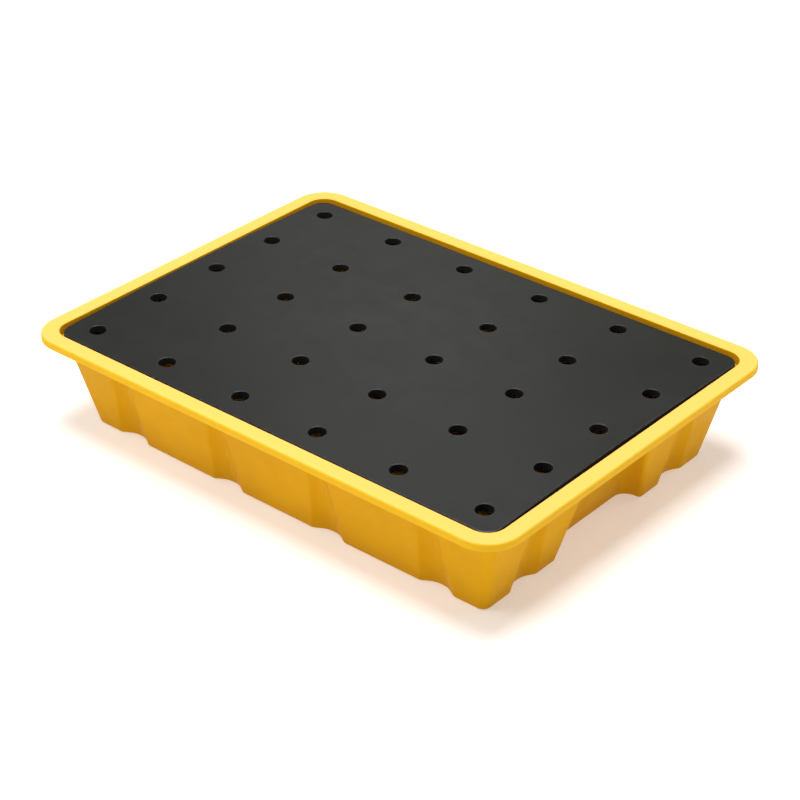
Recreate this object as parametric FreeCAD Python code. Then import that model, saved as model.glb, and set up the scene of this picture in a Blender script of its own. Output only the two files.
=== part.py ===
"""Spill containment pallet: a one-piece moulded sump tray and its lift-off drain deck.

Millimetres, +Z up, X along the long side. The origin is on the floor under the
middle of the tray. Each piece is one solid, written to parts/NODE.step.
"""

import FreeCAD, Part
import math
import os

V = FreeCAD.Vector
UP = V(0, 0, 1)

# Rim: a flat band round the top, with a lip turned down at its outer edge.
rim_length = 810.0
rim_width = 598.0
rim_height = 148.2
rim_corner_radius = 48.0
rim_band = 24.3
rim_edge_radius = 3.5
rim_inner_edge_radius = 1.5
lip_height = 10.5
lip_wall = 4.0

# Pocket in the rim that the deck drops into, and the ledge it rests on.
ledge_height = 134.1
pocket_wall = 4.3
pocket_corner_radius = 26.5

# Tub: tapered walls that are pulled in by grooves and by one hand recess a side.
wall = 5.0
floor_wall = 5.0
foot_half_length = 344.7
foot_half_width = 236.4
long_side_bow = 1.8
foot_corner_radius = 12.5
top_corner_radius = 17.0
long_side_taper = 0.21
short_side_taper = 0.23
foot_edge_radius = 5.0
sump_bevel = 5.0

# Grooves: four in each long side and two in each short side. They grow narrower,
# shallower and tighter with height.
long_side_groove_places = (-269.0, -89.5, 89.5, 269.0)
short_side_groove_place = 159.8
groove_half_width = 27.5
groove_half_width_taper = 0.105
groove_depth = 10.5
groove_depth_taper = 0.026
groove_slope = 17.0
groove_slope_taper = 0.065
groove_mouth_radius = 9.0
groove_floor_radius = 34.0
groove_floor_radius_taper = 0.16

# Hand recess in the middle of each short side.
recess_half_width = 93.0
recess_taper = 0.23
recess_depth = 27.5
recess_slope = 3.0
recess_mouth_radius = 6.0
recess_floor_radius = 18.0

# Hollow post in the middle of the sump, which carries the middle of the deck.
post_top_radius = 50.0
post_top_height = 138.2
post_edge_radius = 8.0
post_taper = 0.21

# Deck: a slightly crowned plate with a grid of drain holes.
deck_length = 752.0
deck_width = 538.0
deck_thickness = 10.0
deck_corner_radius = 22.0
deck_crown = 4.6
deck_rest_gap = 0.3
deck_edge_radius = 1.5
hole_diameter = 24.0
hole_columns = 6
hole_rows = 5
hole_pitch_x = 134.6
hole_pitch_y = 115.3
hole_edge_radius = 0.8

through = 20.0


def turn(before, corner, after):
    """Unit directions into and out of a corner, and the angle turned there."""
    run_in = (corner - before).normalize()
    run_out = (after - corner).normalize()
    angle = math.atan2(run_in.cross(run_out).z, run_in.dot(run_out))
    return run_in, run_out, angle


def rounded_wire(corners, height):
    """Closed wire at one height through (x, y, radius) corners, rounded by arcs."""
    count = len(corners)
    stations = []
    for index in range(count):
        x, y, radius = corners[index]
        before = corners[index - 1]
        after = corners[(index + 1) % count]
        corner = V(x, y, height)
        run_in, run_out, angle = turn(
            V(before[0], before[1], height), corner, V(after[0], after[1], height)
        )
        reach = radius * math.tan(abs(angle) / 2)
        start = corner - run_in * reach
        end = corner + run_out * reach
        inward = (run_out - run_in).normalize()
        middle = corner + inward * (radius / math.cos(angle / 2) - radius)
        stations.append((start, middle, end))
    edges = []
    for index in range(count):
        start, middle, end = stations[index]
        edges.append(Part.Arc(start, middle, end).toShape())
        edges.append(Part.LineSegment(end, stations[(index + 1) % count][0]).toShape())
    return Part.Wire(edges)


def box_corners(half_length, half_width, radius):
    """Four corners of a rounded rectangle, anticlockwise."""
    return [
        (-half_length, -half_width, radius),
        (half_length, -half_width, radius),
        (half_length, half_width, radius),
        (-half_length, half_width, radius),
    ]


def prism(half_length, half_width, radius, bottom, top):
    """Upright block with rounded corners."""
    wire = rounded_wire(box_corners(half_length, half_width, radius), bottom)
    return Part.Face(wire).extrude(V(0, 0, top - bottom))


def inset(corners, distance):
    """The same outline moved inwards, with its corner radii kept concentric."""
    count = len(corners)
    moved = []
    for index in range(count):
        x, y, radius = corners[index]
        before = corners[index - 1]
        after = corners[(index + 1) % count]
        run_in, run_out, angle = turn(
            V(before[0], before[1], 0), V(x, y, 0), V(after[0], after[1], 0)
        )
        side_in = UP.cross(run_in)
        side_out = UP.cross(run_out)
        shift = (side_in + side_out) * (distance / (1 + side_in.dot(side_out)))
        new_radius = radius - math.copysign(distance, angle)
        moved.append((x + shift.x, y + shift.y, max(new_radius, 0.6)))
    return moved


def notch(place, half_width, slope, depth, mouth_radius, floor_radius):
    """Four corners of a notch, as (along the side, into the side, radius)."""
    return [
        (place - half_width, 0.0, mouth_radius),
        (place - half_width + slope, depth, floor_radius),
        (place + half_width - slope, depth, floor_radius),
        (place + half_width, 0.0, mouth_radius),
    ]


def groove(place, height):
    half_width = groove_half_width - groove_half_width_taper * height
    slope = groove_slope - groove_slope_taper * height
    depth = groove_depth - groove_depth_taper * height
    floor_radius = groove_floor_radius - groove_floor_radius_taper * height
    return notch(place, half_width, slope, depth, groove_mouth_radius, floor_radius)


def hand_recess(height):
    half_width = recess_half_width - recess_taper * height
    return notch(
        0.0, half_width, recess_slope, recess_depth, recess_mouth_radius, recess_floor_radius
    )


def bow(along, height):
    """How far a long side bulges out at one place: most at the middle of its foot."""
    lengthwise = 1 - (along / foot_half_length) ** 2
    upwards = max(1 - height / ledge_height, 0.0)
    return long_side_bow * lengthwise * upwards


def tub_corners(height):
    """Outside outline of the tub at one height, anticlockwise from the front left."""
    half_length = foot_half_length + short_side_taper * height
    half_width = foot_half_width + long_side_taper * height
    radius_growth = (top_corner_radius - foot_corner_radius) / ledge_height
    radius = foot_corner_radius + radius_growth * height
    long_side = []
    for place in long_side_groove_places:
        long_side += groove(place, height)
    short_side = groove(-short_side_groove_place, height)
    short_side += hand_recess(height)
    short_side += groove(short_side_groove_place, height)
    corners = [(-half_length, -half_width, radius)]
    corners += [
        (along, into - bow(along, height) - half_width, r) for along, into, r in long_side
    ]
    corners += [(half_length, -half_width, radius)]
    corners += [(half_length - into, along, r) for along, into, r in short_side]
    corners += [(half_length, half_width, radius)]
    corners += [
        (-along, half_width + bow(along, height) - into, r) for along, into, r in long_side
    ]
    corners += [(-half_length, half_width, radius)]
    corners += [(into - half_length, -along, r) for along, into, r in short_side]
    return corners


def tub(levels):
    """Tapered block through the tub's outline at each (height, distance inwards)."""
    wires = []
    for height, distance in levels:
        wires.append(rounded_wire(inset(tub_corners(height), distance), height))
    return Part.makeLoft(wires, True, True)


def edges_at(shape, height, reach=0.05):
    """Edges that lie wholly at one height."""
    found = []
    for edge in shape.Edges:
        box = edge.BoundBox
        if abs(box.ZMin - height) < reach and abs(box.ZMax - height) < reach:
            found.append(edge)
    return found


def pocket_edges(shape):
    """Edges round the mouth of the deck's pocket."""
    found = []
    for edge in edges_at(shape, rim_height):
        middle = edge.CenterOfMass
        reach_x = rim_length / 2 - rim_band + 0.1
        reach_y = rim_width / 2 - rim_band + 0.1
        if abs(middle.x) < reach_x and abs(middle.y) < reach_y:
            found.append(edge)
    return found


def rim():
    """Rim band with its lip, the pocket wall and the ledge, before the sump is cut."""
    half_length = rim_length / 2
    half_width = rim_width / 2
    lip_bottom = rim_height - lip_height
    band = prism(half_length, half_width, rim_corner_radius, lip_bottom, rim_height)
    band = band.makeFillet(rim_edge_radius, edges_at(band, rim_height))
    hollow = prism(
        half_length - lip_wall,
        half_width - lip_wall,
        rim_corner_radius - lip_wall,
        lip_bottom - through,
        rim_height - lip_wall,
    )
    pocket_length = half_length - rim_band
    pocket_width = half_width - rim_band
    cup = prism(
        pocket_length + pocket_wall,
        pocket_width + pocket_wall,
        pocket_corner_radius + pocket_wall,
        ledge_height - wall,
        rim_height,
    )
    pocket = prism(
        pocket_length, pocket_width, pocket_corner_radius, ledge_height, rim_height + through
    )
    shape = band.cut(hollow).fuse(cup).cut(pocket)
    return shape.makeFillet(rim_inner_edge_radius, pocket_edges(shape))


def post(inner):
    """Tapered round post under the deck, or the hollow inside it."""
    step = wall if inner else 0.0
    top = post_top_height - step
    bottom = -through if inner else floor_wall / 2
    top_radius = post_top_radius - step
    bottom_radius = top_radius + post_taper * (top - bottom)
    cone = Part.makeCone(bottom_radius, top_radius, top - bottom, V(0, 0, bottom))
    return cone.makeFillet(post_edge_radius - step, edges_at(cone, top))


def sump_tray():
    outside = tub([(0.0, 0.0), (ledge_height - wall / 2, 0.0)])
    outside = outside.makeFillet(foot_edge_radius, edges_at(outside, 0.0))
    inside = tub(
        [
            (floor_wall, wall + sump_bevel),
            (floor_wall + sump_bevel, wall),
            (ledge_height + through, wall),
        ]
    )
    body = outside.fuse(rim()).cut(inside)
    return body.fuse(post(False)).cut(post(True)).removeSplitter()


def crowned_slab():
    """Plate with a shallow cylindrical crown across its width."""
    edge_top = ledge_height + deck_rest_gap + deck_thickness
    half = deck_width / 2 + through
    crown_radius = ((deck_width / 2) ** 2 + deck_crown**2) / (2 * deck_crown)
    centre = edge_top + deck_crown - crown_radius
    sections = []
    for radius in (crown_radius, crown_radius - deck_thickness):
        side = centre + math.sqrt(radius**2 - half**2)
        sections.append((V(0, -half, side), V(0, 0, centre + radius), V(0, half, side)))
    (left_top, mid_top, right_top), (left_low, mid_low, right_low) = sections
    profile = Part.Wire(
        [
            Part.Arc(left_top, mid_top, right_top).toShape(),
            Part.LineSegment(right_top, right_low).toShape(),
            Part.Arc(right_low, mid_low, left_low).toShape(),
            Part.LineSegment(left_low, left_top).toShape(),
        ]
    )
    slab = Part.Face(profile).extrude(V(deck_length, 0, 0))
    slab.translate(V(-deck_length / 2, 0, 0))
    return slab


def drain_holes():
    holes = []
    bottom = ledge_height - through
    for column in range(hole_columns):
        x = (column - (hole_columns - 1) / 2) * hole_pitch_x
        for row in range(hole_rows):
            y = (row - (hole_rows - 1) / 2) * hole_pitch_y
            holes.append(Part.makeCylinder(hole_diameter / 2, 3 * through, V(x, y, bottom)))
    return Part.makeCompound(holes)


def deck_edges(plate):
    """Edges of the plate's top face: those round its outside, then those of its holes."""
    broad = [face for face in plate.Faces if face.Area > plate.Volume / deck_thickness / 2]
    top_face = max(broad, key=lambda face: face.CenterOfMass.z)
    outer = top_face.OuterWire.Edges
    inner = [edge for wire in top_face.Wires[1:] for edge in wire.Edges]
    return outer, inner


def deck():
    outline = prism(
        deck_length / 2,
        deck_width / 2,
        deck_corner_radius,
        ledge_height - through,
        rim_height + through,
    )
    plate = crowned_slab().common(outline)
    outer, _ = deck_edges(plate)
    plate = plate.makeFillet(deck_edge_radius, outer)
    plate = plate.cut(drain_holes())
    _, inner = deck_edges(plate)
    return plate.makeFillet(hole_edge_radius, inner)


def write(name, shape):
    box = shape.BoundBox
    solids = shape.Solids
    size = f"{box.XLength:.1f} x {box.YLength:.1f} x {box.ZLength:.1f}"
    print(name, "valid", shape.isValid(), "solids", len(solids), "size", size)
    print("    volume, litres", round(shape.Volume / 1e6, 3))
    solids[0].exportStep(os.path.join("parts", name + ".step"))


def main():
    os.makedirs("parts", exist_ok=True)
    write("sump_tray", sump_tray())
    write("drain_deck", deck())


main()
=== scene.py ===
"""Looks for the spill containment pallet: materials, floor, studio light and camera.

Metres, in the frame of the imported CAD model: +X along the long side, +Z up.
"""

import bpy
import bmesh
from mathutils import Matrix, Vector

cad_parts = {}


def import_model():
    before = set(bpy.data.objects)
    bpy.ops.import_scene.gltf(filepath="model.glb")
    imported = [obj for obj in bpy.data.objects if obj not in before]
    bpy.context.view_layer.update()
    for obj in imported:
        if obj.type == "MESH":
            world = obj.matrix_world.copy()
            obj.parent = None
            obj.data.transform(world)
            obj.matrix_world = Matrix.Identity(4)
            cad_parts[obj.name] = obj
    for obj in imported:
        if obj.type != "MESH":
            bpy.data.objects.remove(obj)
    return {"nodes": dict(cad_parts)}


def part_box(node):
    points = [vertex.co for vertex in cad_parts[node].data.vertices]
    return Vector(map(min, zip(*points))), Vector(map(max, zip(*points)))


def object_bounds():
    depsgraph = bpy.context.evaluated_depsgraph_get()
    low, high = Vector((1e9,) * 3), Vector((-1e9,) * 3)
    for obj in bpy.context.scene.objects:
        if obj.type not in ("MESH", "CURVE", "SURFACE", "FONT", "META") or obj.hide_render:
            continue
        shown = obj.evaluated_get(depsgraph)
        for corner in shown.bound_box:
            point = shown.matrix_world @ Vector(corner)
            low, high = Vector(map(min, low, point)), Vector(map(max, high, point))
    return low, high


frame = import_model()
cad_low, cad_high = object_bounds()

scene = bpy.context.scene
tray = frame["nodes"]["sump_tray"]
deck = frame["nodes"]["drain_deck"]
tray_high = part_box("sump_tray")[1]
deck_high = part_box("drain_deck")[1]

# Grid of drain holes in the deck, which the wear round each hole follows.
HOLE_PITCH = (0.1346, 0.1153)
HOLE_RADIUS = 0.012
RIM_CORNER_RADIUS = 0.048
DECK_CORNER_RADIUS = 0.022
# Depth and height of the band on the outer lip that is painted lighter, as painted light.
LIP_DEPTH = 0.006
LIP_HEIGHT = 0.022

FLOOR_HALF_SIZE = 20.0
# The floor gives off a little light, which softens the shadow round the tray.
FLOOR_GLOW = 0.35
HORIZON_STRENGTH = 0.35
OVERHEAD_STRENGTH = 0.05
LIGHT_TARGET = (0.0, 0.0, 0.07)

CAMERA_LENS = 98.29
CAMERA_TARGET = (0.0291, -0.0249, 0.0828)
CAMERA_DIRECTION = (0.5543, -0.6515, 0.5179)
CAMERA_DISTANCE = 2.9393


class Graph:
    """One node tree, with short calls that add a node and link its inputs."""

    def __init__(self, tree):
        self.tree = tree
        tree.nodes.clear()

    def node(self, kind, inputs=None, **settings):
        made = self.tree.nodes.new(kind)
        for name, value in settings.items():
            setattr(made, name, value)
        for name, value in (inputs or {}).items():
            self.feed(made.inputs[name], value)
        return made

    def feed(self, socket, value):
        if isinstance(value, bpy.types.NodeSocket):
            self.tree.links.new(value, socket)
        else:
            socket.default_value = value

    def math(self, operation, first, second=0.0):
        inputs = {0: first, 1: second}
        return self.node("ShaderNodeMath", inputs, operation=operation).outputs[0]

    def vector(self, operation, first, second=(0.0, 0.0, 0.0)):
        inputs = {0: first, 1: second}
        made = self.node("ShaderNodeVectorMath", inputs, operation=operation)
        return made.outputs["Value" if operation == "LENGTH" else "Vector"]

    def ramp(self, value, low, high, to_low=0.0, to_high=1.0):
        """Smooth step from one range to another."""
        inputs = {"Value": value, 1: low, 2: high, 3: to_low, 4: to_high}
        made = self.node("ShaderNodeMapRange", inputs, interpolation_type="SMOOTHSTEP")
        return made.outputs[0]

    def noise(self, place, scale, detail=2.0, roughness=0.5, distortion=0.0):
        inputs = {
            "Vector": place,
            "Scale": scale,
            "Detail": detail,
            "Roughness": roughness,
            "Distortion": distortion,
        }
        return self.node("ShaderNodeTexNoise", inputs).outputs["Fac"]

    def mix(self, share, first, second):
        inputs = {0: share, 6: first, 7: second}
        return self.node("ShaderNodeMix", inputs, data_type="RGBA").outputs[2]

    def upward(self):
        """How far the surface faces up: 1 on top, 0 on a wall, -1 underneath."""
        normal = self.node("ShaderNodeNewGeometry").outputs["Normal"]
        return self.node("ShaderNodeSeparateXYZ", {0: normal}).outputs["Z"]

    def bump(self, height, depth, below=None):
        inputs = {"Height": height, "Distance": depth, "Strength": 1.0}
        if below is not None:
            inputs["Normal"] = below
        return self.node("ShaderNodeBump", inputs).outputs[0]


def colour(red, green, blue):
    return (red, green, blue, 1.0)


def new_material(name):
    material = bpy.data.materials.new(name)
    material.use_nodes = True
    return material, Graph(material.node_tree)


def finish_material(graph, base, roughness, normal, **sockets):
    inputs = {"Base Color": base, "Roughness": roughness, "Normal": normal}
    inputs.update(sockets)
    shader = graph.node("ShaderNodeBsdfPrincipled", inputs)
    graph.node("ShaderNodeOutputMaterial", {"Surface": shader.outputs[0]})


def outline_distance(graph, place, half_length, half_width, radius):
    """Distance outwards from a rounded rectangle round the origin."""
    inner = (half_length - radius, half_width - radius, 0.0)
    flat = graph.vector("MULTIPLY", place, (1.0, 1.0, 0.0))
    beyond = graph.vector("SUBTRACT", graph.vector("ABSOLUTE", flat), inner)
    corner = graph.vector("LENGTH", graph.vector("MAXIMUM", beyond))
    return graph.math("SUBTRACT", corner, radius)


def yellow_polyethylene():
    material, g = new_material("yellow_polyethylene_moulded")
    place = g.node("ShaderNodeTexCoord").outputs["Object"]
    mottle = g.noise(place, 7.0, 4.0, 0.55)
    cloud = g.noise(place, 38.0, 3.0, 0.6, 0.4)
    peel = g.noise(place, 190.0, 2.0, 0.5)
    grain = g.noise(place, 950.0, 2.0, 0.6)

    base = g.mix(g.ramp(mottle, 0.3, 0.7), colour(0.66, 0.325, 0.001), colour(0.71, 0.360, 0.001))
    base = g.mix(g.ramp(cloud, 0.35, 0.75, 0.0, 0.16), base, colour(0.60, 0.270, 0.001))
    base = g.mix(g.ramp(grain, 0.55, 0.8, 0.0, 0.10), base, colour(0.80, 0.44, 0.02))

    outwards = outline_distance(g, place, tray_high.x, tray_high.y, RIM_CORNER_RADIUS)
    height = g.node("ShaderNodeSeparateXYZ", {0: place}).outputs["Z"]
    rim_edge = g.math(
        "MULTIPLY",
        g.ramp(outwards, -0.0045, -0.0005),
        g.ramp(height, tray_high.z - 0.006, tray_high.z - 0.001),
    )
    foot_edge = g.ramp(height, 0.0, 0.006, 1.0, 0.0)
    scuffs = g.ramp(g.noise(place, 120.0, 5.0, 0.65), 0.5, 0.68)
    worn = g.math("MULTIPLY", g.math("MAXIMUM", rim_edge, foot_edge), scuffs)
    base = g.mix(g.math("MULTIPLY", worn, 0.35), base, colour(0.90, 0.58, 0.12))

    # Painted light: the outer face of the lip is painted a lighter yellow, standing in for the extra
    # light it catches compared with the wall below.
    lip_painted_light = g.math(
        "MULTIPLY",
        g.ramp(outwards, -LIP_DEPTH, -0.5 * LIP_DEPTH),
        g.ramp(height, tray_high.z - LIP_HEIGHT, tray_high.z - 0.8 * LIP_HEIGHT),
    )
    base = g.mix(lip_painted_light, base, colour(0.82, 0.46, 0.012))
    # Painted highlight: faces near the rim top that point upwards are painted paler, standing in for the
    # bright, washed-out light falling on the rim top.
    rim_top_painted_highlight = g.math(
        "MULTIPLY",
        g.ramp(g.upward(), 0.62, 0.90),
        g.ramp(height, tray_high.z - 0.012, tray_high.z - 0.004),
    )
    base = g.mix(g.math("MULTIPLY", rim_top_painted_highlight, 0.8), base, colour(0.90, 0.53, 0.130))

    roughness = g.ramp(cloud, 0.25, 0.8, 0.46, 0.56)
    roughness = g.math("ADD", roughness, g.math("MULTIPLY", worn, 0.15))
    normal = g.bump(mottle, 0.0006)
    normal = g.bump(peel, 0.00012, normal)
    normal = g.bump(grain, 0.00003, normal)
    finish_material(g, base, roughness, normal, **{"IOR": 1.5, "Specular IOR Level": 0.06})
    return material


def black_polyethylene():
    material, g = new_material("black_polyethylene_sheet")
    place = g.node("ShaderNodeTexCoord").outputs["Object"]
    mottle = g.noise(place, 5.0, 3.0, 0.5)
    smudge = g.noise(place, 24.0, 4.0, 0.6, 0.6)
    grain = g.noise(place, 820.0, 2.0, 0.6)
    across = g.vector("MULTIPLY", place, (14.0, 260.0, 1.0))
    along = g.vector("MULTIPLY", place, (240.0, 12.0, 1.0))
    scratches = g.math(
        "MAXIMUM",
        g.ramp(g.noise(across, 1.0, 2.0, 0.4), 0.70, 0.78),
        g.ramp(g.noise(along, 1.0, 2.0, 0.4), 0.72, 0.80),
    )

    base = g.mix(g.ramp(mottle, 0.3, 0.7), colour(0.0078, 0.0084, 0.0062), colour(0.0100, 0.0106, 0.0082))
    base = g.mix(g.ramp(grain, 0.5, 0.8, 0.0, 0.25), base, colour(0.026, 0.026, 0.023))
    base = g.mix(g.math("MULTIPLY", scratches, 0.10), base, colour(0.06, 0.06, 0.056))

    parts = g.node("ShaderNodeSeparateXYZ", {0: place})
    cell_x = g.math("PINGPONG", parts.outputs["X"], HOLE_PITCH[0] / 2)
    cell_x = g.math("SUBTRACT", HOLE_PITCH[0] / 2, cell_x)
    cell_y = g.math("PINGPONG", parts.outputs["Y"], HOLE_PITCH[1] / 2)
    cell = g.node("ShaderNodeCombineXYZ", {0: cell_x, 1: cell_y}).outputs[0]
    from_hole = g.math("SUBTRACT", g.vector("LENGTH", cell), HOLE_RADIUS)
    hole_edge = g.ramp(from_hole, 0.0, 0.0025, 1.0, 0.0)
    outwards = outline_distance(g, place, deck_high.x, deck_high.y, DECK_CORNER_RADIUS)
    deck_edge = g.ramp(outwards, -0.0035, -0.0005)
    scuffs = g.ramp(g.noise(place, 150.0, 4.0, 0.65), 0.42, 0.66)
    worn = g.math("MULTIPLY", g.math("MAXIMUM", hole_edge, deck_edge), scuffs)
    base = g.mix(g.math("MULTIPLY", worn, 0.30), base, colour(0.075, 0.075, 0.070))

    # Painted shade: the steep faces of the deck, the hole walls and its outer edge, are painted nearly
    # black, standing in for the shade inside the holes and in the gap at the edge. The same mask also
    # makes these faces rougher.
    steep_faces_painted_shade = g.ramp(g.upward(), 0.2, 0.6, 1.0, 0.0)
    base = g.mix(steep_faces_painted_shade, base, colour(0.003, 0.003, 0.0028))

    roughness = g.ramp(smudge, 0.25, 0.8, 0.34, 0.42)
    roughness = g.math("ADD", roughness, g.math("MULTIPLY", scratches, 0.06))
    roughness = g.math("MAXIMUM", roughness, g.math("MULTIPLY", steep_faces_painted_shade, 0.85))
    normal = g.bump(mottle, 0.0008)
    normal = g.bump(grain, 0.00003, normal)
    finish_material(g, base, roughness, normal, **{"IOR": 1.5, "Specular IOR Level": 0.4})
    return material


def floor_material():
    material, g = new_material("studio_floor_pale")
    place = g.node("ShaderNodeTexCoord").outputs["Object"]
    cloud = g.noise(place, 1.5, 3.0, 0.5)
    base = g.mix(cloud, colour(0.90, 0.90, 0.90), colour(0.92, 0.92, 0.92))
    normal = g.bump(g.noise(place, 400.0), 0.00002)
    glow = {"Emission Color": colour(1.0, 1.0, 1.0), "Emission Strength": FLOOR_GLOW}
    finish_material(g, base, 0.9, normal, **{"Specular IOR Level": 0.2, **glow})
    return material


def floor():
    mesh = bpy.data.meshes.new("studio_floor")
    form = bmesh.new()
    bmesh.ops.create_grid(form, x_segments=4, y_segments=4, size=FLOOR_HALF_SIZE)
    form.to_mesh(mesh)
    form.free()
    piece = bpy.data.objects.new("studio_floor", mesh)
    scene.collection.objects.link(piece)
    piece.location = (0.0, 0.0, cad_low.z)
    mesh.materials.append(floor_material())


def softbox(name, place, width, height, power):
    """Area light that faces the pallet."""
    lamp = bpy.data.lights.new(name, "AREA")
    lamp.shape = "RECTANGLE"
    lamp.size = width
    lamp.size_y = height
    lamp.energy = power
    light = bpy.data.objects.new(name, lamp)
    scene.collection.objects.link(light)
    light.location = place
    light.rotation_mode = "QUATERNION"
    light.rotation_quaternion = (Vector(place) - Vector(LIGHT_TARGET)).to_track_quat("Z", "Y")


def world(horizon, overhead):
    """White surroundings that grow from one brightness at the horizon to another overhead."""
    backdrop = bpy.data.worlds.new("studio_world")
    scene.world = backdrop
    backdrop.use_nodes = True
    g = Graph(backdrop.node_tree)
    direction = g.node("ShaderNodeTexCoord").outputs["Generated"]
    height = g.node("ShaderNodeSeparateXYZ", {0: direction}).outputs["Z"]
    strength = g.ramp(height, 0.1, 0.85, horizon, overhead)
    inputs = {"Color": colour(1.0, 1.0, 1.0), "Strength": strength}
    shader = g.node("ShaderNodeBackground", inputs)
    g.node("ShaderNodeOutputWorld", {"Surface": shader.outputs[0]})


def camera():
    """Camera three quarters from the front right, above the pallet."""
    data = bpy.data.cameras.new("camera")
    data.sensor_width = 36.0
    data.lens = CAMERA_LENS
    data.clip_start = 0.05
    data.clip_end = 200.0
    eye = bpy.data.objects.new("camera", data)
    scene.collection.objects.link(eye)
    back = Vector(CAMERA_DIRECTION).normalized()
    eye.location = Vector(CAMERA_TARGET) + back * CAMERA_DISTANCE
    eye.rotation_mode = "QUATERNION"
    eye.rotation_quaternion = back.to_track_quat("Z", "Y")
    scene.camera = eye


tray.material_slots[0].material = yellow_polyethylene()
deck.material_slots[0].material = black_polyethylene()
floor()
camera()
world(HORIZON_STRENGTH, OVERHEAD_STRENGTH)
softbox("softbox_top", (0.0, 0.0, 2.8), 2.0, 2.0, 112.0)
softbox("softbox_left", (-2.8, -0.6, 1.3), 1.5, 1.2, 8.0)
softbox("softbox_front_high", (-0.7, -1.9, 2.6), 1.2, 1.0, 22.0)
softbox("softbox_mirror", (-1.63, 1.93, 1.70), 0.9, 0.7, 2.2)
softbox("softbox_back_right", (1.4, 2.6, 1.6), 2.0, 1.2, 12.0)

scene.view_settings.view_transform = "Standard"
